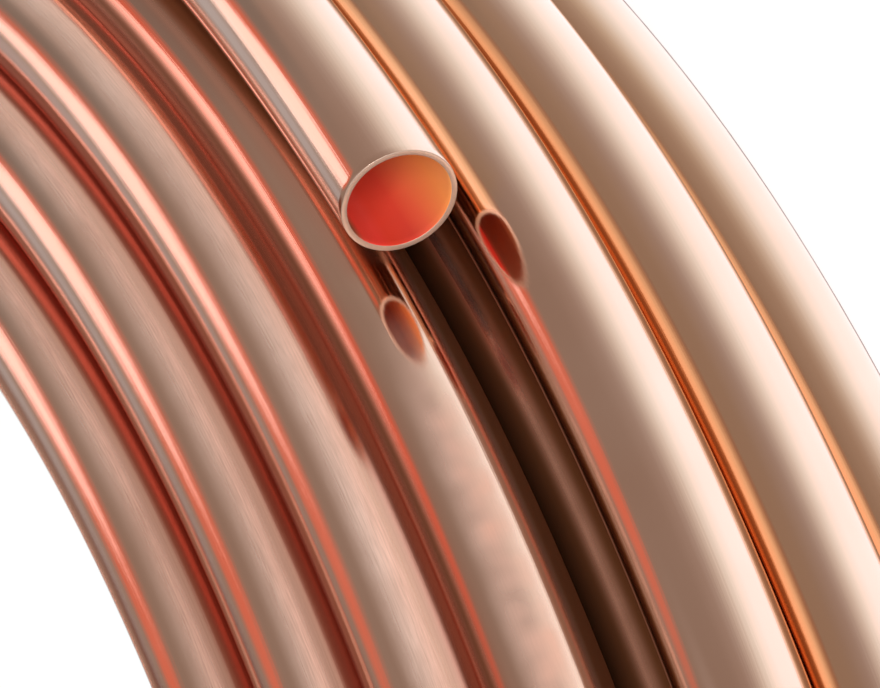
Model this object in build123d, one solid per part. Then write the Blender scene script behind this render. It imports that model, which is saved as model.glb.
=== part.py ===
"""A coil of soft copper water tube, lying flat as it is stored.

The coil is one length of tube wound in five layers. It is modelled as one turned solid
round its open eye, with every outer turn showing as a rounded ridge on both ends, on the
rim and in the eye. The last turn runs on top of the outer layer, springs a little out of
its seat and ends in an open tube end. Units are millimetres. The coil's axis is +Z and the
origin is on the floor at its centre. The open end points to -X at the front, which is -Y.
"""

import os
from math import cos, radians, sin

from build123d import *

# The tube
tube_od = 15.0
wall = 0.8

# The winding: the top turn of the outer layer lies on a circle of this radius
top_turn_radius = 400.0

# The last turn: how far round it lies on top of the outer layer, counted from the front,
# and the arc in which it dips into the layers below
top_turn_arc = 270.0
dip_arc = 50.0
dip_tilt = 9.6

# The free end of the last turn: it leaves its seat this many degrees before the front and
# springs outwards and upwards by this much. Its last stretch is straight.
release_angle = 13.2
spring_out = 2.2
spring_up = 2.5
past_front = 18.9
straight_end = 12.0

# The crevice between two touching turns is closed this far above their line of centres
crevice_fill = 0.12 * tube_od

# Steps from one turn's centre to the next, outwards and upwards, in tube diameters.
# The end face runs from the top turn of the outer layer inwards to the eye.
end_face_steps = [(-1.02, -0.04), (-0.64, 0.57), (-0.82, 0.41), (-0.94, 0.29)]
# The rim runs from the same turn down to the floor.
rim_steps = [(0.10, -1.00), (0.10, -1.00), (-0.20, -0.99)]
# The underside runs from the rim's lowest turn inwards, up to the eye's lowest turn.
underside_steps = [(-1.00, 0.00), (-0.66, 0.75), (-0.82, -0.55)]
# The turn of the second layer that lies in the corner under the top turn
corner_turn_step = (-0.93, -1.05)
# Turns in the eye between its highest and its lowest one
turns_between_in_eye = 3


def walk(start, steps):
    """Centres reached from a start by steps in tube diameters."""
    centres = []
    place = start
    for outwards, upwards in steps:
        place = (place[0] + outwards * tube_od, place[1] + upwards * tube_od)
        centres.append(place)
    return centres


drop_to_floor = -sum(upwards for _, upwards in rim_steps) * tube_od
top_turn = (top_turn_radius, tube_od / 2 + drop_to_floor)
end_face_turns = walk(top_turn, end_face_steps)
rim_turns = walk(top_turn, rim_steps)
corner_turn = walk(top_turn, [corner_turn_step])[0]
underside_turns = walk(rim_turns[-1], underside_steps)
eye_top_turn = end_face_turns[-1]
eye_foot_turn = (eye_top_turn[0], tube_od / 2)


def eye_turns():
    """Centres of the turns that line the eye, from its foot up, without its highest one."""
    gap = (eye_top_turn[1] - eye_foot_turn[1]) / (turns_between_in_eye + 1)
    return [
        (eye_foot_turn[0], eye_foot_turn[1] + step * gap)
        for step in range(turns_between_in_eye + 1)
    ]


def turned(sketch, arc=360.0):
    """A section drawn as radius and height, turned round the coil's axis from the front."""
    section = Rot(0, 0, -90) * (Plane.XZ * sketch)
    return revolve(section, axis=Axis.Z, revolution_arc=arc)


def ridged_section(centres):
    """Tube rounds at the centres, joined by a core that closes the crevices between them."""
    core = make_face(Polyline(*centres, close=True))
    section = offset(core, amount=crevice_fill, kind=Kind.INTERSECTION)
    for centre in centres:
        section += Pos(*centre) * Circle(tube_od / 2)
    return section


def wound_body():
    """All the layers except the last turn, with an empty seat where that turn lies."""
    centres = (
        [corner_turn]
        + rim_turns
        + underside_turns
        + eye_turns()
        + end_face_turns[::-1]
    )
    return turned(ridged_section(centres))


def last_turn():
    """The last turn as far as it keeps to its seat on top of the outer layer."""
    centres = [top_turn, end_face_turns[0], corner_turn, rim_turns[0]]
    seat = offset(
        make_face(Polyline(*centres, close=True)),
        amount=crevice_fill,
        kind=Kind.INTERSECTION,
    )
    seat += Pos(*top_turn) * Circle(tube_od / 2)
    seated = turned(seat, top_turn_arc - release_angle)
    return Rot(0, 0, release_angle) * seated


def dip():
    """The start of the last turn, which comes up out of the layers below."""
    radius = top_turn_radius - 2 * tube_od
    reach = radius * cos(radians(dip_tilt))
    drop = radius * sin(radians(dip_tilt))
    centre = Vector(top_turn_radius - reach, 0, top_turn[1] - drop)
    axis = Axis(centre, (-sin(radians(dip_tilt)), 0, cos(radians(dip_tilt))))
    tube_round = Pos(top_turn_radius, 0, top_turn[1]) * (
        Plane.XZ * Circle(tube_od / 2)
    )
    ramp = revolve(tube_round, axis=axis, revolution_arc=dip_arc)
    return Rot(0, 0, top_turn_arc - 90) * ramp


def free_end(radius):
    """A round of this radius along the free end, from the seat to the cut."""
    leave = top_turn_radius * Vector(
        sin(radians(release_angle)), -cos(radians(release_angle)), 0
    ) + Vector(0, 0, top_turn[1])
    way = Vector(-cos(radians(release_angle)), -sin(radians(release_angle)), 0)
    straight = Vector(-past_front, -top_turn_radius - spring_out, top_turn[1] + spring_up)
    bend = Spline(leave, straight, tangents=[way, (-1, 0, 0)])
    sprung = sweep(Plane(origin=leave, z_dir=way) * Circle(radius), path=bend)
    plane = Plane(origin=straight, z_dir=(-1, 0, 0))
    sprung += plane * Cylinder(
        radius, straight_end, align=(Align.CENTER, Align.CENTER, Align.MIN)
    )
    return sprung


def copper_coil():
    """The whole coil as one solid, with the bore open as far as the free end goes."""
    coil = wound_body() + last_turn()
    coil += dip()
    coil += free_end(tube_od / 2)
    return coil - free_end(tube_od / 2 - wall)


if __name__ == "__main__":
    os.makedirs("parts", exist_ok=True)
    solid = copper_coil()
    export_step(solid, "parts/copper_coil.step")
    box = solid.bounding_box()
    print("solids", len(solid.solids()), "valid", solid.is_valid)
    print("box", box.min, box.max, "volume", solid.volume)
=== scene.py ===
"""Looks of a coil of soft copper tube, lying flat, with one open end on its top turn.

The coil is one continuous tube: five layers of turns, wound up and down in turn round an
open eye. Every turn keeps to its seat for most of the way round and climbs to the next
seat in one crossing. Lengths are metres, +Z is up and the coil's axis is the Z axis.
"""

import logging
from dataclasses import dataclass
from enum import Enum

import bpy
import numpy as np
from mathutils import Matrix, Vector


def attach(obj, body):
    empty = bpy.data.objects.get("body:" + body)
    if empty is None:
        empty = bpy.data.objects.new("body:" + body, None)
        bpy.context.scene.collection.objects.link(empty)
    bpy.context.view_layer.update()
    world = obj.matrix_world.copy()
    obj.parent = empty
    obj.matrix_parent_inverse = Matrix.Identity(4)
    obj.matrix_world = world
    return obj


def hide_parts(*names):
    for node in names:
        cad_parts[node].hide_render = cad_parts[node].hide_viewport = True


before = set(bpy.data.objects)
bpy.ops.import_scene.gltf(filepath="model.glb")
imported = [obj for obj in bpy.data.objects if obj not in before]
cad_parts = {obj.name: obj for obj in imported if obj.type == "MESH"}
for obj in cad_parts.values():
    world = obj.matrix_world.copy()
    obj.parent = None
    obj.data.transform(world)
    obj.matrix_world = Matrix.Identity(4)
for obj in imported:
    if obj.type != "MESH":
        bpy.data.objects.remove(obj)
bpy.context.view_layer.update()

logging.basicConfig(level=logging.INFO, format="%(name)s: %(message)s")
log = logging.getLogger("copper coil")

Socket = bpy.types.NodeSocket

# The CAD node that all pieces stand for
NODE = "copper_coil"

# The photograph's size in pixels
IMAGE_SIZE = (880, 688)

# The place by the open end that the lamps look at
LIT_POINT = Vector((-0.01, -0.40, 0.05))

# Noise nodes give 0 to 1 and seldom leave this range
NOISE_RANGE = (0.3, 0.7)

# The sockets of a value that is carried from one range to another, in the order of the
# rows of numbers below
RANGES = ("Value", "From Min", "From Max", "To Min", "To Max")


class Way(Enum):
    """Which way a layer is wound."""

    UP = "up"
    DOWN = "down"


class Finish(Enum):
    """How the outside of a layer looks."""

    BRIGHT = "bright"
    HANDLED = "handled"
    GROOVE = "groove"


@dataclass(frozen=True)
class Layer:
    """One layer of turns, whose seats are the centres of its turns.

    Attributes:
        name: the layer's name.
        way: which way it is wound.
        finish: how its outside looks.
        outwards: steps outwards from the solid's top turn to its seats, from the lowest
            up, in tube diameters.
        upwards: steps upwards to the same seats, likewise.
    """

    name: str
    way: Way
    finish: Finish
    outwards: tuple[float, ...]
    upwards: tuple[float, ...]

    def wound(self) -> list[tuple[float, float]]:
        """The seats in the order in which the tube takes them."""
        seats = list(zip(self.outwards, self.upwards))
        return seats if self.way is Way.UP else seats[::-1]


LAYERS = (
    Layer("eye", Way.UP, Finish.HANDLED, (-3.41,) * 5, (-2.99, -1.93, -0.88, 0.18, 1.23)),
    Layer("second", Way.DOWN, Finish.HANDLED, (-2.47,) * 4, (-2.78, -1.54, -0.30, 0.94)),
    Layer("third", Way.UP, Finish.HANDLED, (-1.64,) * 4, (-2.22, -1.30, -0.39, 0.53)),
    Layer(
        "fourth",
        Way.DOWN,
        Finish.GROOVE,
        (-1.00, -0.97, -0.93, -1.01),
        (-2.99, -2.02, -1.05, -0.04),
    ),
    Layer("rim", Way.UP, Finish.BRIGHT, (0.01, 0.21, 0.11, 0.00), (-2.98, -1.97, -0.955, 0.025)),
)


@dataclass(frozen=True)
class TubeStock:
    """The tube as it is drawn, and the grid of its surface.

    Attributes:
        diameter: outside diameter.
        wall: thickness of the wall.
        sides: faces round the tube.
        steps_per_turn: faces along one turn.
    """

    diameter: float = 0.015
    wall: float = 0.0008
    sides: int = 44
    steps_per_turn: int = 360

    @property
    def radius(self) -> float:
        """Outside radius."""
        return self.diameter / 2

    @property
    def bore(self) -> float:
        """Inside radius."""
        return self.radius - self.wall


def smooth(share: np.ndarray) -> np.ndarray:
    """A smooth step from 0 to 1: three times the share's square less twice its cube."""
    return share * share * (3 - 2 * share)


@dataclass(frozen=True)
class Winding:
    """The centre line of the whole coil.

    The place along the tube is counted in turns from the inner end. The tube runs
    clockwise, seen from above.

    Attributes:
        tube: the tube that is wound.
        radius: radius of the solid's top turn, from which seats are counted.
        top_height: height of that turn.
        start_azimuth: azimuth of the inner end, in degrees.
        end_azimuth: azimuth of the open end, in degrees.
        crossing: last stretch of a turn, which crosses to the next seat, in degrees.
        release: last stretch of the tube, which is out of its seat, in radians.
        past_end: share of that stretch by which its curve goes on past the open end.
        spring: how far the open end springs outwards and upwards, in diameters.
        wander: how far turns stray from their seats outwards and upwards, in diameters.
        waves: waves of that in one turn, outwards and upwards.
        wave_shift: how far the waves move on from turn to turn, in radians.
        calm: how far round from the open end no turn strays, as 1 less a cosine.
        cover_width: width of the bell curve of a neighbour's cover, in diameters.
        short_way: way each side over which directions are taken, 0.05 mm as turns.
    """

    tube: TubeStock = TubeStock()
    radius: float = 0.400
    top_height: float = 0.05235
    start_azimuth: float = 180.0
    end_azimuth: float = -94.41
    crossing: float = 50.0
    release: float = 0.308
    past_end: float = 0.1
    spring: tuple[float, float] = (0.215, 0.144)
    wander: tuple[float, float] = (0.03, 0.015)
    waves: tuple[int, int] = (3, 2)
    wave_shift: tuple[float, float] = (2.4, 1.7)
    calm: float = 0.25
    cover_width: float = 0.33
    short_way: float = 2e-5

    def seats(self) -> np.ndarray:
        """All seats in winding order, as rows of outward and upward steps."""
        return np.array([seat for layer in LAYERS for seat in layer.wound()])

    @property
    def end(self) -> float:
        """Place of the open end, in turns."""
        return len(self.seats()) - 1 + (self.start_azimuth - self.end_azimuth) / 360.0

    @property
    def turn_length(self) -> float:
        """Length of one turn on the solid's top turn."""
        return 2 * np.pi * self.radius

    def places(self, start: float, stop: float) -> np.ndarray:
        """Evenly spaced places between two places.

        Args:
            start: first place, in turns.
            stop: last place, in turns.

        Returns:
            The places in turns, as many as the tube's steps per turn ask.
        """
        count = int(round((stop - start) * self.tube.steps_per_turn)) + 1
        return np.linspace(start, stop, count)

    def centre_line(self, place: np.ndarray) -> np.ndarray:
        """Points of the centre line.

        The azimuth falls by a full turn for each unit of the place. The seat number is
        the whole part of the place plus a smooth step from 0 to 1 over the crossing, and
        the seat is read off the list in straight lines. Near the open end the tube springs
        out of its seat: outwards as the square of the share of the way from the release to
        the end, and upwards as a smooth step of it. Away from the open end each turn
        strays by a sine of its azimuth, three waves outwards and two upwards. A bell curve
        of 1 less the cosine of the azimuth from the end keeps it in its seat there.

        Args:
            place: places along the tube in turns, as a flat array.

        Returns:
            Points as an array with one row of three numbers each.
        """
        seats = self.seats()
        last = len(seats) - 1
        azimuth = np.radians(self.start_azimuth - 360.0 * place)
        turn = np.clip(np.floor(place), 0, last)
        crossed = (place - turn - 1 + self.crossing / 360.0) * 360.0 / self.crossing
        seat = np.clip(turn + smooth(np.clip(crossed, 0, 1)), 0, last)
        out, up = (np.interp(seat, np.arange(len(seats)), column) for column in seats.T)
        seated = np.clip((self.end - place) * 2 * np.pi / self.release, -self.past_end, 1)
        out = out + self.spring[0] * (1 - seated) ** 2
        up = up + self.spring[1] * (1 - smooth(seated))
        from_end = 1 - np.cos(azimuth - np.radians(self.end_azimuth))
        stray = 1 - np.exp(-((from_end / self.calm) ** 2))
        wave_out, wave_up = (
            np.sin(waves * azimuth + shift * place)
            for waves, shift in zip(self.waves, self.wave_shift)
        )
        out = out + self.wander[0] * stray * wave_out
        up = up + self.wander[1] * stray * wave_up
        radius = self.radius + out * self.tube.diameter
        height = np.maximum(self.top_height + up * self.tube.diameter, self.tube.radius)
        return np.stack([radius * np.cos(azimuth), radius * np.sin(azimuth), height], axis=-1)

    def directions(self, place: np.ndarray) -> np.ndarray:
        """Unit directions of the centre line: the difference over a short way round it.

        Args:
            place: places along the tube in turns, as a flat array.

        Returns:
            The directions as an array with one row of three numbers each.
        """
        step = self.centre_line(place + self.short_way) - self.centre_line(place - self.short_way)
        return step / np.linalg.norm(step, axis=1)[:, None]

    def cover(self, place: np.ndarray, points: np.ndarray) -> np.ndarray:
        """How closely the neighbouring turns cover points of the tube.

        The gap is the least distance from the point to the outside of any other turn at
        the same azimuth. The cover is 1 where it closes and falls off as its bell curve.

        Args:
            place: place along the tube of each row of points, in turns.
            points: rows of points, each row one round of the tube.

        Returns:
            The cover, from 0 to 1, with one number for each point.
        """
        gap = np.full(points.shape[:2], np.inf)
        turns = int(np.ceil(self.end))
        for step in range(-turns, turns + 1):
            other = place + step
            there = (other >= 0) & (other <= self.end) & (step != 0)
            if not there.any():
                continue
            centre = self.centre_line(other[there])
            distance = np.linalg.norm(points[there] - centre[:, None, :], axis=-1)
            gap[there] = np.minimum(gap[there], distance - self.tube.radius)
        return np.exp(-((np.maximum(gap, 0) / (self.cover_width * self.tube.diameter)) ** 2))


@dataclass(frozen=True)
class Sweep:
    """A round section carried along a path.

    Attributes:
        stations: points of the path.
        radii: radius of the section at each station.
        sides: faces round the section.
        parts: part of the surface that starts at each station, as a slot number.
    """

    stations: np.ndarray
    radii: np.ndarray
    sides: int
    parts: np.ndarray

    def points(self, directions: np.ndarray) -> np.ndarray:
        """The surface's points, one row for each station.

        A point is its station plus the radius times the cosine of the angle along the
        level direction across the path and its sine along the direction that rises.

        Args:
            directions: unit direction of the path at each station.

        Returns:
            The points, stations by sides by three.
        """
        level = np.cross(directions, np.array([0.0, 0.0, 1.0]))
        level /= np.linalg.norm(level, axis=1)[:, None]
        rise = np.cross(level, directions)
        angle = np.linspace(0, 2 * np.pi, self.sides, endpoint=False)
        ring = (
            np.cos(angle)[None, :, None] * level[:, None, :]
            + np.sin(angle)[None, :, None] * rise[:, None, :]
        )
        return self.stations[:, None, :] + self.radii[:, None, None] * ring

    def mesh(self, name: str, points: np.ndarray, shelter: np.ndarray) -> bpy.types.Mesh:
        """The closed surface as a mesh.

        Both ends are closed by flat caps. The UV map holds metres along the path and the
        share of the way round, from 0 at the side that faces the coil's axis over 0.25 at
        the top and 0.5 at the outermost line to 0.75 at the bottom.

        Args:
            name: name of the mesh.
            points: the surface's points, one row for each station.
            shelter: a number from 0 to 1 for each point, kept as an attribute.

        Returns:
            The mesh.
        """
        rows, sides = len(self.stations), self.sides
        number = np.arange(rows * sides).reshape(rows, sides)
        after = np.roll(number, -1, axis=1)
        quads = np.stack([number[:-1], number[1:], after[1:], after[:-1]], axis=-1)
        mesh = bpy.data.meshes.new(name)
        faces = quads.reshape(-1, 4).tolist()
        faces += [number[0].tolist(), number[-1][::-1].tolist()]
        mesh.from_pydata(points.reshape(-1, 3), [], faces)
        along = np.r_[0, np.cumsum(np.linalg.norm(np.diff(self.stations, axis=0), axis=1))]
        u0 = np.broadcast_to(along[:-1, None], (rows - 1, sides))
        u1 = np.broadcast_to(along[1:, None], (rows - 1, sides))
        v0 = np.broadcast_to(np.arange(sides) / sides, (rows - 1, sides))
        v1 = v0 + 1 / sides
        corners = np.stack(
            [np.stack(pair, -1) for pair in ((u0, v0), (u1, v0), (u1, v1), (u0, v1))], axis=2
        )
        caps = np.zeros((2 * sides, 2))
        caps[sides:, 0] = along[-1]
        layer = mesh.uv_layers.new(name="tube")
        layer.data.foreach_set("uv", np.concatenate([corners.reshape(-1, 2), caps]).ravel())
        rounded = np.ones(len(mesh.polygons), dtype=bool)
        rounded[-2:] = False
        mesh.polygons.foreach_set("use_smooth", rounded)
        parts = np.concatenate([np.repeat(self.parts[:-1], sides), self.parts[[0, -1]]])
        mesh.polygons.foreach_set("material_index", parts)
        kept = mesh.attributes.new("shelter", "FLOAT", "POINT")
        kept.data.foreach_set("value", shelter.ravel())
        mesh.update()
        return mesh


def linear(hex_colour: str) -> tuple[float, float, float, float]:
    """Scene-linear colour of an sRGB hex string.

    Args:
        hex_colour: six hex digits after a hash sign.

    Returns:
        Red, green, blue and an alpha of 1.
    """
    parts = [int(hex_colour[i : i + 2], 16) / 255 for i in (1, 3, 5)]
    flat = [p / 12.92 if p <= 0.04045 else ((p + 0.055) / 1.055) ** 2.4 for p in parts]
    return (flat[0], flat[1], flat[2], 1.0)


class Board:
    """A node tree that nodes are added to, each with its settings and links."""

    def __init__(self, tree: bpy.types.NodeTree) -> None:
        """Empties the tree."""
        self.tree = tree
        tree.nodes.clear()

    def add(
        self, kind: str, inputs: dict[str | int, object] | None = None, **settings: object
    ) -> bpy.types.Node:
        """Adds a node.

        Args:
            kind: Blender's name for the node.
            inputs: for each socket, by name or number, a value or a socket to link from.
            settings: attributes set on the node.

        Returns:
            The node.
        """
        node = self.tree.nodes.new(kind)
        for name, value in settings.items():
            setattr(node, name, value)
        for socket, value in (inputs or {}).items():
            if isinstance(value, Socket):
                self.tree.links.new(value, node.inputs[socket])
            else:
                node.inputs[socket].default_value = value
        return node


def new_material(name: str) -> tuple[bpy.types.Material, Board]:
    """Starts a material.

    Args:
        name: its name.

    Returns:
        The material and its empty board.
    """
    material = bpy.data.materials.new(name)
    material.use_nodes = True
    return material, Board(material.node_tree)


class Part(Enum):
    """The parts of the tube's surface, in the order of the piece's material slots."""

    OUTSIDE = 0
    CUT_FACE = 1
    BORE = 2


@dataclass(frozen=True)
class DrawnCopper:
    """Copper tube as it comes from the drawing die, lightly aged.

    To the eye its mirrored bands run clear along the tube. Its tone and gloss drift
    softly, fine scratches run along it, and beside a neighbouring turn it is painted warmer,
    a painted reflection of that turn's copper. Where its upper outer side is scuffed, part
    of the light is scattered and the bands blur. Where turns meet, painted shade darkens it.

    A share is one of the way round the tube, as on the UV map. The cover is how closely
    neighbouring turns cover a place. Marks are sized in millimetres, along and across.

    Attributes:
        name: the material's name.
        bright: bare metal's colour at its brightest.
        aged: bare metal's colour at its dullest.
        neighbour_reflection: painted reflection, the metal's colour near a neighbouring turn,
            warmer as though lit by that turn's copper.
        neighbour_reflection_at: covers at which that painted colour starts and is full.
        roughness: roughness of the bare metal at its glossiest.
        roughness_drift: how much rougher it drifts.
        drift: size of the soft clouds in tone and gloss.
        lines: strength of the scratches.
        scratch: size of a scratch. A real one is some hundredths of a millimetre wide, too
            fine to show, so it is drawn as coarse as it needs to show.
        scratch_depth: its depth, likewise.
        scuff: how much less metallic the scuffs are.
        scuff_rises: shares over which the scuffs come in, past the top.
        scuff_ends: shares over which they go, by the outermost line.
        scuff_open: covers over which they go, under a neighbour.
        scuff_from: length along the tube at which they start.
        scuff_fade: length in which they come in there.
        patch: size of the cloudy patches in the scuffs.
        patch_detail: levels of finer clouds in those.
        patchiness: how much the patches vary.
        streakiness: how much streaks along the tube vary them.
        grain: size of a streak, drawn as coarse as it needs to show.
        worn: colour of the scuffed metal, or nothing if it isn't tinted.
        crevice_shade: colour of the painted shade on the metal where turns meet.
        shade_at: covers at which the painted shade starts and is full.
        shade_roughness: how much rougher the metal is under it.
        shade_free_to: share up to which the inner side is free of it.
        shade_all_from: share from which it covers all of the lower outer side.
        shade_edge: half the width of its soft edge at those two shares.
        shade_all_to: length along the tube up to which it does that.
        shade_fade: length in which it thins out there.
    """

    name: str
    bright: str = "#fcdccc"
    aged: str = "#f4ccb8"
    neighbour_reflection: str = "#fdd3b5"
    neighbour_reflection_at: tuple[float, float] = (0.12, 0.55)
    roughness: float = 0.07
    roughness_drift: float = 0.04
    drift: float = 26.32
    lines: float = 0.10
    scratch: tuple[float, float] = (111.1, 0.2244)
    scratch_depth: float = 0.1
    scuff: float = 0.0
    scuff_rises: tuple[float, float] = (0.335, 0.43)
    scuff_ends: tuple[float, float] = (0.46, 0.505)
    scuff_open: tuple[float, float] = (0.45, 0.75)
    scuff_from: float = -1.0
    scuff_fade: float = 0.030
    patch: float = 26.32
    patch_detail: float = 3.0
    patchiness: float = 0.25
    streakiness: float = 0.25
    grain: tuple[float, float] = (6.25, 0.2049)
    worn: str = ""
    crevice_shade: str = "#f3c29e"
    shade_at: tuple[float, float] = (0.7, 1.0)
    shade_roughness: float = 0.0
    shade_free_to: float = -1.0
    shade_all_from: float = 2.0
    shade_edge: float = 0.03
    shade_all_to: float = 0.0
    shade_fade: float = 0.1

    def _clouds(self, board: Board, place: Socket, size: float, detail: float) -> Socket:
        """Soft noise in the object's own space.

        Args:
            board: the material's board.
            place: place in the object's own space, in metres.
            size: size of a cloud, in millimetres.
            detail: levels of finer clouds.

        Returns:
            The noise's socket.
        """
        noise = board.add(
            "ShaderNodeTexNoise",
            {"Vector": place, "Scale": 1000 / size, "Detail": detail, "Roughness": 0.55},
        )
        return noise.outputs["Fac"]

    def _streaks(
        self, board: Board, uv: Socket, size: tuple[float, float], detail: float
    ) -> Socket:
        """Noise drawn out along the tube.

        The metres along the tube are divided by a mark's length, and the share of the way
        round by the share that a mark's width takes of it.

        Args:
            board: the material's board.
            uv: the piece's UV map.
            size: length and width of a mark, in millimetres.
            detail: levels of finer marks.

        Returns:
            The noise's socket.
        """
        length, width = size
        marks = (1000 / length, 1000 * np.pi * TubeStock.diameter / width, 1.0)
        space = board.add("ShaderNodeVectorMath", {0: uv, 1: marks}, operation="MULTIPLY")
        noise = board.add(
            "ShaderNodeTexNoise",
            {"Vector": space.outputs[0], "Scale": 1.0, "Detail": detail, "Roughness": 0.6},
        )
        return noise.outputs["Fac"]

    def _scuffed(self, board: Board, uv: Socket, place: Socket, cover: Socket) -> Socket:
        """How metallic the surface is: 1 less the scuffs.

        The scuffs' strength is the product of smooth steps up at the top of the tube, down
        at its outermost line, down under a neighbour and up at a length along the tube,
        and of two noises that swing about 1.

        Args:
            board: the material's board.
            uv: the piece's UV map.
            place: place in the object's own space.
            cover: how closely neighbouring turns cover the place.

        Returns:
            The metallic value's socket.
        """
        round_tube = board.add("ShaderNodeSeparateXYZ", {0: uv})
        along, share = round_tube.outputs["X"], round_tube.outputs["Y"]
        clouds = self._clouds(board, place, self.patch, self.patch_detail)
        streaks = self._streaks(board, uv, self.grain, 3.0)
        factors = [
            board.add(
                "ShaderNodeMapRange", dict(zip(RANGES, row)), interpolation_type=curve
            ).outputs[0]
            for curve, *row in (
                ("SMOOTHSTEP", share, *self.scuff_rises, 0.0, 1.0),
                ("SMOOTHSTEP", share, *self.scuff_ends, 1.0, 0.0),
                ("SMOOTHSTEP", cover, *self.scuff_open, 1.0, 0.0),
                ("SMOOTHSTEP", along, self.scuff_from, self.scuff_from + self.scuff_fade, 0.0, 1.0),
                ("LINEAR", clouds, *NOISE_RANGE, 1 - self.patchiness, 1 + self.patchiness),
                ("LINEAR", streaks, *NOISE_RANGE, 1 - self.streakiness, 1 + self.streakiness),
            )
        ]
        scuffs = factors[0]
        for factor in factors[1:]:
            scuffs = board.add(
                "ShaderNodeMath", {0: scuffs, 1: factor}, operation="MULTIPLY"
            ).outputs[0]
        metal = board.add(
            "ShaderNodeMath", {0: scuffs, 1: -self.scuff, 2: 1.0}, operation="MULTIPLY_ADD"
        )
        return metal.outputs[0]

    def _painted_shade(self, board: Board, uv: Socket, cover: Socket) -> Socket:
        """How strong the painted shade is, from 0 to 1.

        It is a smooth step up over the cover, times one up at the share that is left free.
        Where it is more, a step up at the share from which the painted shade is everywhere,
        times a step down at the length where that ends, takes its place.

        Args:
            board: the material's board.
            uv: the piece's UV map.
            cover: how closely neighbouring turns cover the place.

        Returns:
            The film's socket.
        """
        round_tube = board.add("ShaderNodeSeparateXYZ", {0: uv})
        along, share = round_tube.outputs["X"], round_tube.outputs["Y"]
        edge = self.shade_edge
        depth, outer, lower, before = (
            board.add(
                "ShaderNodeMapRange", dict(zip(RANGES, row)), interpolation_type="SMOOTHSTEP"
            ).outputs[0]
            for row in (
                (cover, *self.shade_at, 0.0, 1.0),
                (share, self.shade_free_to - edge, self.shade_free_to + edge, 0.0, 1.0),
                (share, self.shade_all_from - edge, self.shade_all_from + edge, 0.0, 1.0),
                (along, self.shade_all_to, self.shade_all_to + self.shade_fade, 1.0, 0.0),
            )
        )
        kept = board.add("ShaderNodeMath", {0: depth, 1: outer}, operation="MULTIPLY")
        everywhere = board.add("ShaderNodeMath", {0: lower, 1: before}, operation="MULTIPLY")
        painted_light = board.add(
            "ShaderNodeMath", {0: kept.outputs[0], 1: everywhere.outputs[0]}, operation="MAXIMUM"
        )
        return painted_light.outputs[0]

    def material(self) -> bpy.types.Material:
        """The finish as a material.

        Returns:
            The material.
        """
        material, board = new_material(self.name)
        uv = board.add("ShaderNodeUVMap", uv_map="tube").outputs["UV"]
        place = board.add("ShaderNodeTexCoord").outputs["Object"]
        cover = board.add("ShaderNodeAttribute", attribute_name="shelter").outputs["Fac"]
        drift = self._clouds(board, place, self.drift, 3.0)
        # Painted shade: darker where neighbouring turns cover the tube, and over the groove's lower
        # outer side
        painted_light = self._painted_shade(board, uv, cover)
        near = board.add(
            "ShaderNodeMapRange",
            dict(zip(RANGES, (cover, *self.neighbour_reflection_at))),
            interpolation_type="SMOOTHSTEP",
        )
        # Painted light: the aged tone drifts at random towards the bright one, is painted warmer
        # near a neighbouring turn as a painted reflection of its copper, and is painted darker
        # where turns meet as painted shade
        colour: tuple[float, ...] | Socket = linear(self.aged)
        for share, over in (
            (drift, self.bright),
            (near.outputs[0], self.neighbour_reflection),
            (painted_light, self.crevice_shade),
        ):
            colour = board.add(
                "ShaderNodeMix", {0: share, 6: colour, 7: linear(over)}, data_type="RGBA"
            ).outputs[2]
        metal = self._scuffed(board, uv, place, cover) if self.scuff else 1.0
        if self.worn:
            colour = board.add(
                "ShaderNodeMix", {0: metal, 6: linear(self.worn), 7: colour}, data_type="RGBA"
            ).outputs[2]
        roughest = self.roughness + self.roughness_drift
        bare = board.add(
            "ShaderNodeMapRange",
            dict(zip(RANGES, (drift, *NOISE_RANGE, self.roughness, roughest))),
        )
        roughness = board.add(
            "ShaderNodeMath",
            {0: painted_light, 1: self.shade_roughness, 2: bare.outputs[0]},
            operation="MULTIPLY_ADD",
        )
        bump = board.add(
            "ShaderNodeBump",
            {
                "Height": self._streaks(board, uv, self.scratch, 4.0),
                "Strength": self.lines,
                "Distance": self.scratch_depth / 1000,
            },
        )
        shader = board.add(
            "ShaderNodeBsdfPrincipled",
            {
                "Base Color": colour,
                "Metallic": metal,
                "Roughness": roughness.outputs[0],
                "Normal": bump.outputs["Normal"],
            },
        )
        board.add("ShaderNodeOutputMaterial", {"Surface": shader.outputs[0]})
        return material


@dataclass(frozen=True)
class CutCopper:
    """Copper as a cut leaves it on the wall's end: a pale satin that mirrors nothing.

    Attributes:
        name: the material's name.
        colour: its colour.
        metallic: how metallic it is. Burrs too fine to model scatter the rest.
        roughness: its roughness.
    """

    name: str = "satin_cut_copper"
    colour: str = "#aa8f7e"
    metallic: float = 0.45
    roughness: float = 0.42

    def material(self) -> bpy.types.Material:
        """The finish as a material.

        Returns:
            The material.
        """
        material, board = new_material(self.name)
        shader = board.add(
            "ShaderNodeBsdfPrincipled",
            {
                "Base Color": linear(self.colour),
                "Metallic": self.metallic,
                "Roughness": self.roughness,
            },
        )
        board.add("ShaderNodeOutputMaterial", {"Surface": shader.outputs[0]})
        return material


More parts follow.
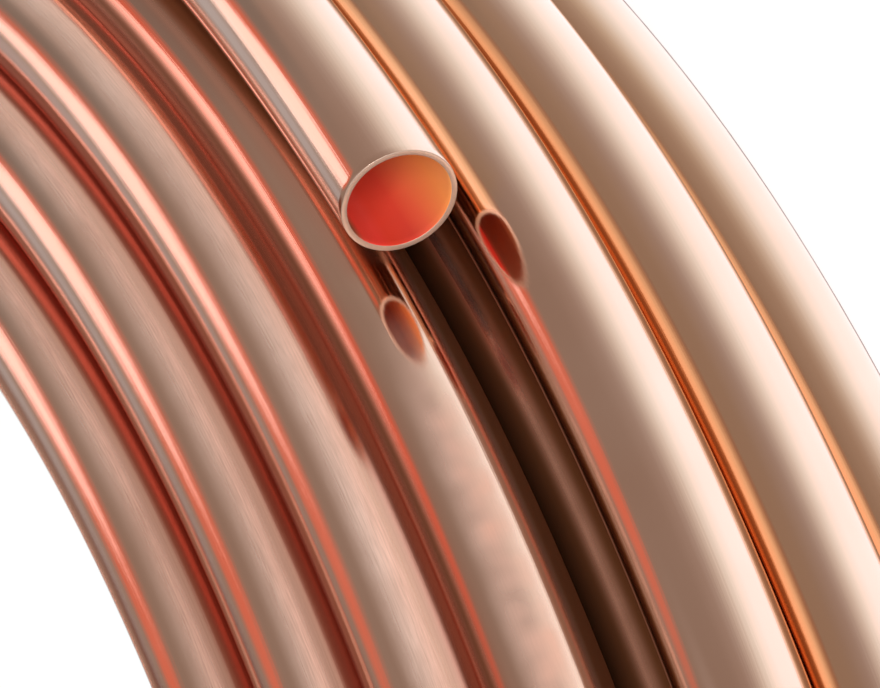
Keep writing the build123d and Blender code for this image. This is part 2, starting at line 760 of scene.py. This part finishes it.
@dataclass(frozen=True)
class PaintedGlowBore:
    """The tube's inside: a matt surface whose colours are painted light.

    Its colours are a painted glow of light bounced round the bore, from red to orange
    round it, with painted shade in places, and are painted brighter deeper in, so that it
    is darker at the mouth.

    Attributes:
        name: the material's name.
        painted_light: rows of a share of the way round the bore, the painted colour there
        at the mouth, and the painted colour deeper in.
        mouth_depth: depth at which the colours deeper in are full.
        roughness: its roughness.
    """

    name: str = "painted_glow_bore"
    painted_light: tuple[tuple[float, str, str], ...] = (
        (0.00, "#e43f35", "#ff5d4e"),
        (0.06, "#e0483a", "#fa5446"),
        (0.10, "#945a42", "#945a42"),
        (0.42, "#9a6a50", "#9a6a50"),
        (0.50, "#c89c74", "#c89c74"),
        (0.59, "#eebf8c", "#eebf8c"),
        (0.64, "#ffb26a", "#ffb26a"),
        (0.75, "#ff9e56", "#ff9c56"),
        (0.85, "#e86044", "#ff734c"),
        (0.90, "#d04436", "#fc5640"),
        (0.965, "#d63e2c", "#ff5440"),
        (1.00, "#e43f35", "#ff5d4e"),
    )
    mouth_depth: float = 0.010
    roughness: float = 0.85

    def _round(self, board: Board, share: Socket, column: int) -> Socket:
        """The painted colours round the bore.

        Args:
            board: the material's board.
            share: share of the way round.
            column: column of the painted colours' table that they stand in.

        Returns:
            The colour's socket.
        """
        ramp = board.add("ShaderNodeValToRGB", {0: share})
        stops = ramp.color_ramp.elements
        for row in self.painted_light[1:-1]:
            stops.new(row[0])
        for stop, row in zip(stops, self.painted_light):
            stop.position = row[0]
            stop.color = linear(row[column])
        return ramp.outputs[0]

    def material(self) -> bpy.types.Material:
        """The finish as a material, whose "shelter" attribute is the depth in the bore.

        Returns:
            The material.
        """
        material, board = new_material(self.name)
        uv = board.add("ShaderNodeUVMap", uv_map="tube")
        share = board.add("ShaderNodeSeparateXYZ", {0: uv.outputs["UV"]}).outputs["Y"]
        depth = board.add("ShaderNodeAttribute", attribute_name="shelter")
        # Painted light: the bore's painted glow and shade round it, painted brighter deeper in
        colour = board.add(
            "ShaderNodeMix",
            {
                0: depth.outputs["Fac"],
                6: self._round(board, share, 1),
                7: self._round(board, share, 2),
            },
            data_type="RGBA",
        )
        shader = board.add(
            "ShaderNodeBsdfPrincipled",
            {
                "Base Color": colour.outputs[2],
                "Roughness": self.roughness,
                "Specular IOR Level": 0.0,
            },
        )
        board.add("ShaderNodeOutputMaterial", {"Surface": shader.outputs[0]})
        return material


@dataclass(frozen=True)
class TubeEnd:
    """The rounds of tube at an end of a layer, from its outside in.

    Attributes:
        depth: depth of each round behind the end.
        radius: radius of each round.
        part: part of the surface that starts at each round, as a slot number.
    """

    depth: np.ndarray
    radius: np.ndarray
    part: np.ndarray


@dataclass(frozen=True)
class Coil:
    """The wound tube, one piece for each layer.

    Attributes:
        winding: the centre line.
        bright: finish of the rim, which nothing has rubbed: tight, clear bands.
        handled: finish of the end face and the eye, rubbed by hands and neighbours: streaky
            satin on the upper outer side, and painted shade, redder, in the crevices.
        groove: finish of the layer beside the free end: matt brown painted shade in the groove
            under the end, and a pinkish, cloudy worn patch.
        cut: finish of the wall's cut face.
        bore_glow: finish of the bore, with painted glow and shade for colours.
        cut_skew: how far the cut leans towards the coil's axis, as a slope.
        skew_depth: depth behind the open end in which that comes in.
        edge: size of the round on the wall's two edges.
        edge_middle: share of it by which the round's middle stands back.
        first_round: depth of the first full round behind an end.
        bore_rounds: depths of the bore's first and last round, and their number.
        plug_depth: how far a closed end reaches into the next layer.
        plug_taper: share of the radius that is left there.
        overlap: how far past such an end the radius stays full.
        clear: stretch by an end that is free of the even steps.
    """

    winding: Winding = Winding()
    bright: DrawnCopper = DrawnCopper("bright_drawn_copper")
    handled: DrawnCopper = DrawnCopper(
        "handled_drawn_copper",
        neighbour_reflection="#f5c3ae",
        roughness=0.08,
        lines=0.16,
        scuff=0.50,
        crevice_shade="#d89684",
        shade_at=(0.52, 1.0),
        shade_roughness=0.12,
    )
    groove: DrawnCopper = DrawnCopper(
        "worn_copper_painted_groove_shade",
        neighbour_reflection="#f2b8a2",
        roughness_drift=0.02,
        scuff=0.48,
        scuff_from=1.850,
        patch=5.882,
        patch_detail=1.0,
        patchiness=0.5,
        streakiness=0.05,
        worn="#d89c84",
        crevice_shade="#8a5c3e",
        shade_at=(0.45, 0.80),
        shade_roughness=0.42,
        shade_free_to=0.24,
        shade_all_from=0.53,
        shade_all_to=2.05,
    )
    cut: CutCopper = CutCopper()
    bore_glow: PaintedGlowBore = PaintedGlowBore()
    cut_skew: float = 0.048
    skew_depth: float = 0.003
    edge: float = 0.00012
    edge_middle: float = 0.3
    first_round: float = 0.0012
    bore_rounds: tuple[float, float, int] = (0.004, 0.12, 60)
    plug_depth: float = 0.002
    plug_taper: float = 0.9
    overlap: float = 2e-5
    clear: float = 0.002

    def _skewed(self, places: np.ndarray) -> np.ndarray:
        """Directions of the tube, which lean towards the coil's axis near the cut.

        The lean grows evenly from nothing to its full slope, because the cut isn't quite
        square to the tube.

        Args:
            places: places along the tube, in turns.

        Returns:
            Unit directions as rows of three numbers.
        """
        depth = (self.winding.end - places) * self.winding.turn_length
        outward = self.winding.centre_line(places) * np.array([1.0, 1.0, 0.0])
        outward /= np.linalg.norm(outward, axis=1)[:, None]
        lean = self.cut_skew * np.clip(1 - depth / self.skew_depth, 0, 1)
        leaned = self.winding.directions(places) - lean[:, None] * outward
        return leaned / np.linalg.norm(leaned, axis=1)[:, None]

    def _open_end(self) -> TubeEnd:
        """An open end of the tube.

        The outside runs to the cut, a small round leads over each edge of the wall's face,
        and the bore runs back as far as it is shown.

        Returns:
            Its rounds.
        """
        tube, edge, middle = self.winding.tube, self.edge, self.edge * self.edge_middle
        outside_and_face = np.array([self.first_round, edge, middle, 0.0])
        outer_radii = [tube.radius, tube.radius, tube.radius - middle, tube.radius - edge]
        inner_radii = [tube.bore + edge, tube.bore + middle, tube.bore, tube.bore]
        inside = np.linspace(*self.bore_rounds)
        depth = np.concatenate([outside_and_face, outside_and_face[::-1], inside])
        radius = np.concatenate([outer_radii, inner_radii, np.full(len(inside), tube.bore)])
        # Two strips of the outside, three of the cut face, and the bore
        strips = [2, 3, len(depth) - 5]
        part = np.repeat([Part.OUTSIDE.value, Part.CUT_FACE.value, Part.BORE.value], strips)
        return TubeEnd(depth, radius, part)

    def _closed_end(self) -> TubeEnd:
        """An end that reaches a little into the next layer, slimmer, and is closed there.

        Returns:
            Its rounds.
        """
        depth = np.array([self.first_round, 0.0, -self.overlap, -self.plug_depth])
        radius = self.winding.tube.radius * np.array([1, 1, 1, self.plug_taper])
        return TubeEnd(depth, radius, np.full(len(depth), Part.OUTSIDE.value))

    def _rounds(self, start: float, stop: float) -> tuple[np.ndarray, np.ndarray, np.ndarray]:
        """All rounds of one layer, with both of its ends.

        Args:
            start: place where the layer starts, in turns.
            stop: place where the layer stops, in turns.

        Returns:
            The places in turns, the radii, and the part that each round starts.
        """
        first = self._open_end() if start == 0 else self._closed_end()
        last = self._open_end() if stop == self.winding.end else self._closed_end()
        turn = self.winding.turn_length
        places = self.winding.places(start, stop)
        clear = self.clear / turn
        places = places[(places > start + clear) & (places < stop - clear)]
        radii = np.full(len(places), self.winding.tube.radius)
        parts = np.full(len(places) + 1, Part.OUTSIDE.value)
        return (
            np.concatenate([start + first.depth[::-1] / turn, places, stop - last.depth / turn]),
            np.concatenate([first.radius[::-1], radii, last.radius]),
            np.concatenate([first.part[-2::-1], parts, last.part]),
        )

    def _layer(self, layer: Layer, start: float, stop: float) -> bpy.types.Object:
        """Builds one layer as a piece.

        Args:
            layer: the layer.
            start: place where it starts, in turns.
            stop: place where it stops, in turns.

        Returns:
            The piece, without materials.
        """
        tube = self.winding.tube
        places, radii, parts = self._rounds(start, stop)
        sweep = Sweep(self.winding.centre_line(places), radii, tube.sides, parts)
        points = sweep.points(self._skewed(places))
        shelter = self.winding.cover(places, points)
        # In the bore there is no cover: the attribute holds the depth there, as a share of
        # the one at which the bore's painted colours are those deeper in
        inside = radii <= tube.bore
        depth = np.minimum(places - start, stop - places) * self.winding.turn_length
        shelter[inside] = np.clip(depth[inside] / self.bore_glow.mouth_depth, 0, 1)[:, None]
        name = f"{layer.name}_layer"
        piece = bpy.data.objects.new(name, sweep.mesh(name, points, shelter))
        bpy.context.collection.objects.link(piece)
        return piece

    def build(self) -> list[bpy.types.Object]:
        """Builds and dresses every layer.

        Returns:
            The pieces, from the eye outwards.
        """
        outsides = {
            Finish.BRIGHT: self.bright.material(),
            Finish.HANDLED: self.handled.material(),
            Finish.GROOVE: self.groove.material(),
        }
        ends = (self.cut.material(), self.bore_glow.material())
        pieces = []
        start = 0.0
        for layer in LAYERS:
            stop = self.winding.end if layer is LAYERS[-1] else start + len(layer.upwards)
            piece = self._layer(layer, start, stop)
            for material in (outsides[layer.finish], *ends):
                piece.data.materials.append(material)
            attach(piece, "root")
            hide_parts(NODE)
            pieces.append(piece)
            start = stop
        return pieces


@dataclass(frozen=True)
class Patch:
    """A soft oval patch of the surround that the copper mirrors.

    Attributes:
        azimuth: direction of its middle, in degrees.
        elevation: height of its middle, in degrees.
        wide: half its width, in degrees.
        high: half its height, in degrees.
        softness: half of its soft edge, as a share of its size.
        light: its linear light, red, green and blue.
    """

    azimuth: float
    elevation: float
    wide: float
    high: float
    softness: float
    light: tuple[float, float, float]


@dataclass(frozen=True)
class Lamp:
    """A soft rectangular lamp that looks at the open end.

    Attributes:
        name: the lamp's name.
        size: width and height.
        azimuth: direction in which it stands, in degrees.
        elevation: height at which it stands, in degrees.
        roll: turn about its own axis, in degrees.
        distance: distance from the place that it looks at.
        radiance: light of its face, where 1 is white.
    """

    name: str
    size: tuple[float, float]
    azimuth: float
    elevation: float
    roll: float
    distance: float
    radiance: float

    def light(self) -> bpy.types.Object:
        """Puts up the lamp, hidden from the camera but not from the copper.

        Its power is the radiance times pi times its area.

        Returns:
            The lamp.
        """
        azimuth, elevation = np.radians([self.azimuth, self.elevation])
        level = np.cos(elevation)
        towards = Vector((level * np.cos(azimuth), level * np.sin(azimuth), np.sin(elevation)))
        data = bpy.data.lights.new(self.name, "AREA")
        data.shape = "RECTANGLE"
        data.size, data.size_y = self.size
        data.energy = self.radiance * np.pi * self.size[0] * self.size[1]
        lamp = bpy.data.objects.new(self.name, data)
        bpy.context.collection.objects.link(lamp)
        facing = towards.to_track_quat("Z", "Y").to_matrix().to_4x4()
        roll = Matrix.Rotation(np.radians(self.roll), 4, "Z")
        place = Matrix.Translation(LIT_POINT + towards * self.distance)
        lamp.matrix_world = place @ facing @ roll
        lamp.visible_camera = False
        return lamp


@dataclass(frozen=True)
class Studio:
    """A pale floor, a soft surround and two soft lamps.

    The surround that the copper mirrors is white below and a warm grey above. Soft patches
    on it make the copper's darker and redder bands.

    Attributes:
        floor_size: width of the square floor.
        floor_colour: its own colour.
        floor_glow: light that it gives of itself, so that it reads as white.
        daylight: the surround's level on matt surfaces, where 1 is white.
        mirrored: the mirrored surround, as elevations in degrees and linear lights.
        patches: the patches on it, each over the ones before.
        lamps: a narrow one for a bright line along the tubes, a broad one for the bore.
    """

    floor_size: float = 6.0
    floor_colour: str = "#a0a0a0"
    floor_glow: float = 0.78
    daylight: float = 0.55
    mirrored: tuple[tuple[float, tuple[float, float, float]], ...] = (
        (-90.0, (1.24, 1.25, 1.30)),
        (-34.0, (1.24, 1.23, 1.29)),
        (-20.0, (1.06, 1.10, 1.09)),
        (-12.0, (0.86, 0.91, 0.88)),
        (-4.0, (0.71, 0.71, 0.66)),
        (4.0, (0.54, 0.51, 0.46)),
        (12.0, (0.41, 0.36, 0.32)),
        (20.0, (0.34, 0.28, 0.24)),
        (36.0, (0.29, 0.23, 0.19)),
        (54.0, (0.28, 0.22, 0.18)),
        (90.0, (0.62, 0.60, 0.58)),
    )
    patches: tuple[Patch, ...] = (
        Patch(28.0, -32.0, 13.0, 13.0, 0.5, (0.30, 0.21, 0.18)),
        Patch(44.0, 2.0, 12.0, 20.0, 0.4, (0.31, 0.20, 0.155)),
        Patch(42.0, 22.0, 9.0, 11.0, 0.5, (0.15, 0.05, 0.03)),
        Patch(29.0, 17.0, 6.0, 8.0, 0.5, (0.47, 0.48, 0.49)),
        Patch(-5.0, 27.0, 12.0, 6.5, 0.5, (0.235, 0.205, 0.18)),
        Patch(12.0, 37.0, 14.0, 12.0, 0.30, (0.68, 0.19, 0.12)),
    )
    lamps: tuple[Lamp, ...] = (
        Lamp("soft_lamp", (0.28, 0.44), 15.5, 32.0, 38.0, 1.4, 0.85),
        Lamp("fill_lamp", (0.72, 0.72), -162.0, 27.0, 0.0, 1.0, 5.8),
    )

    def floor(self) -> bpy.types.Object:
        """Lays the floor, which reads as white and still takes the coil's shadow.

        It lets mirror rays through, so that the copper shows the surround below it.

        Returns:
            The floor.
        """
        half = self.floor_size / 2
        corners = [(-half, -half, 0), (half, -half, 0), (half, half, 0), (-half, half, 0)]
        mesh = bpy.data.meshes.new("floor")
        mesh.from_pydata(corners, [], [(0, 1, 2, 3)])
        material, board = new_material("pale_floor")
        rays = board.add("ShaderNodeLightPath")
        glow = board.add(
            "ShaderNodeEmission", {"Color": linear("#ffffff"), "Strength": self.floor_glow}
        )
        matt = board.add("ShaderNodeBsdfDiffuse", {"Color": linear(self.floor_colour)})
        both = board.add("ShaderNodeAddShader", {0: glow.outputs[0], 1: matt.outputs[0]})
        clear = board.add("ShaderNodeBsdfTransparent")
        seen = board.add(
            "ShaderNodeMixShader",
            {0: rays.outputs["Is Glossy Ray"], 1: both.outputs[0], 2: clear.outputs[0]},
        )
        board.add("ShaderNodeOutputMaterial", {"Surface": seen.outputs[0]})
        mesh.materials.append(material)
        floor = bpy.data.objects.new("floor", mesh)
        bpy.context.collection.objects.link(floor)
        return floor

    def _patched(self, board: Board, azimuth: Socket, elevation: Socket, shown: Socket) -> Socket:
        """The surround with its patches.

        The distance from a patch's middle is the length of the angles from there, each
        divided by the patch's half size. The patch is full up to 1 less its softness, and
        is gone from 1 plus its softness on.

        Args:
            board: the world's board.
            azimuth: azimuth of the direction, in radians.
            elevation: elevation of the direction, in radians.
            shown: light of the surround without patches.

        Returns:
            The light's socket.
        """
        angles = board.add("ShaderNodeCombineXYZ", {0: azimuth, 1: elevation})
        for patch in self.patches:
            wide, high = np.radians([patch.wide, patch.high])
            centre = np.radians([patch.azimuth, patch.elevation])
            inside = board.add(
                "ShaderNodeVectorMath",
                {
                    0: angles.outputs[0],
                    1: (1 / wide, 1 / high, 0),
                    2: (-centre[0] / wide, -centre[1] / high, 0),
                },
                operation="MULTIPLY_ADD",
            )
            reach = board.add("ShaderNodeVectorMath", {0: inside.outputs[0]}, operation="LENGTH")
            edge = (reach.outputs["Value"], 1 - patch.softness, 1 + patch.softness, 1.0, 0.0)
            fade = board.add(
                "ShaderNodeMapRange", dict(zip(RANGES, edge)), interpolation_type="SMOOTHSTEP"
            )
            shown = board.add(
                "ShaderNodeMix",
                {0: fade.outputs[0], 6: shown, 7: (*patch.light, 1.0)},
                data_type="RGBA",
            ).outputs[2]
        return shown

    def world(self) -> None:
        """Sets up the surround: white behind the coil, white to warm grey in its copper."""
        world = bpy.data.worlds.new("studio")
        world.use_nodes = True
        board = Board(world.node_tree)
        rays = board.add("ShaderNodeLightPath")
        way = board.add("ShaderNodeTexCoord")
        parts = board.add("ShaderNodeSeparateXYZ", {0: way.outputs["Generated"]})
        height = board.add(
            "ShaderNodeMapRange", {"Value": parts.outputs["Z"], "From Min": -1.0, "From Max": 1.0}
        )
        ramp = board.add("ShaderNodeValToRGB", {0: height.outputs[0]})
        stops = ramp.color_ramp.elements
        for _ in self.mirrored[1:-1]:
            stops.new(0.5)
        for stop, (degrees, light) in zip(stops, self.mirrored):
            stop.position = (float(np.sin(np.radians(degrees))) + 1) / 2
            stop.color = (*light, 1.0)
        azimuth = board.add(
            "ShaderNodeMath", {0: parts.outputs["Y"], 1: parts.outputs["X"]}, operation="ARCTAN2"
        )
        elevation = board.add("ShaderNodeMath", {0: parts.outputs["Z"]}, operation="ARCSINE")
        shown = self._patched(board, azimuth.outputs[0], elevation.outputs[0], ramp.outputs[0])
        colour = board.add(
            "ShaderNodeMix",
            {0: rays.outputs["Is Glossy Ray"], 6: linear("#ffffff"), 7: shown},
            data_type="RGBA",
        )
        level = board.add(
            "ShaderNodeMapRange",
            {"Value": rays.outputs["Is Diffuse Ray"], "To Min": 1.0, "To Max": self.daylight},
        )
        surround = board.add(
            "ShaderNodeBackground", {"Color": colour.outputs[2], "Strength": level.outputs[0]}
        )
        board.add("ShaderNodeOutputWorld", {"Surface": surround.outputs[0]})
        bpy.context.scene.world = world


@dataclass(frozen=True)
class View:
    """The photograph's viewing angle.

    Attributes:
        place: where the camera stands.
        aim: the place that it looks at.
        roll: turn about its own axis, in degrees.
        focal_pixels: focal length in the photograph's pixels.
        sensor_width: width of the sensor, in millimetres.
        clip_start: nearest distance that it shows.
    """

    place: tuple[float, float, float] = (-0.62655, -0.73399, 0.38785)
    aim: tuple[float, float, float] = (-0.04652, -0.39136, 0.05235)
    roll: float = -86.9956
    focal_pixels: float = 6261.0
    sensor_width: float = 36.0
    clip_start: float = 0.01

    def camera(self) -> bpy.types.Object:
        """Sets up the camera: level first, then rolled about its own axis.

        Returns:
            The camera.
        """
        data = bpy.data.cameras.new("camera")
        data.sensor_fit = "HORIZONTAL"
        data.sensor_width = self.sensor_width
        data.lens = self.focal_pixels / IMAGE_SIZE[0] * self.sensor_width
        data.clip_start = self.clip_start
        camera = bpy.data.objects.new("camera", data)
        bpy.context.collection.objects.link(camera)
        place, aim = Vector(self.place), Vector(self.aim)
        level = (aim - place).to_track_quat("-Z", "Y").to_matrix().to_4x4()
        roll = Matrix.Rotation(np.radians(self.roll), 4, "Z")
        camera.matrix_world = Matrix.Translation(place) @ level @ roll
        bpy.context.scene.camera = camera
        return camera


def main() -> None:
    """Builds the coil, the studio and the camera, and logs the faces of each piece."""
    bpy.context.scene.view_settings.view_transform = "Standard"
    for piece in Coil().build():
        log.info("%s: %d faces", piece.name, len(piece.data.polygons))
    studio = Studio()
    studio.floor()
    studio.world()
    for lamp in studio.lamps:
        lamp.light()
    View().camera()


if __name__ == "__main__":
    main()
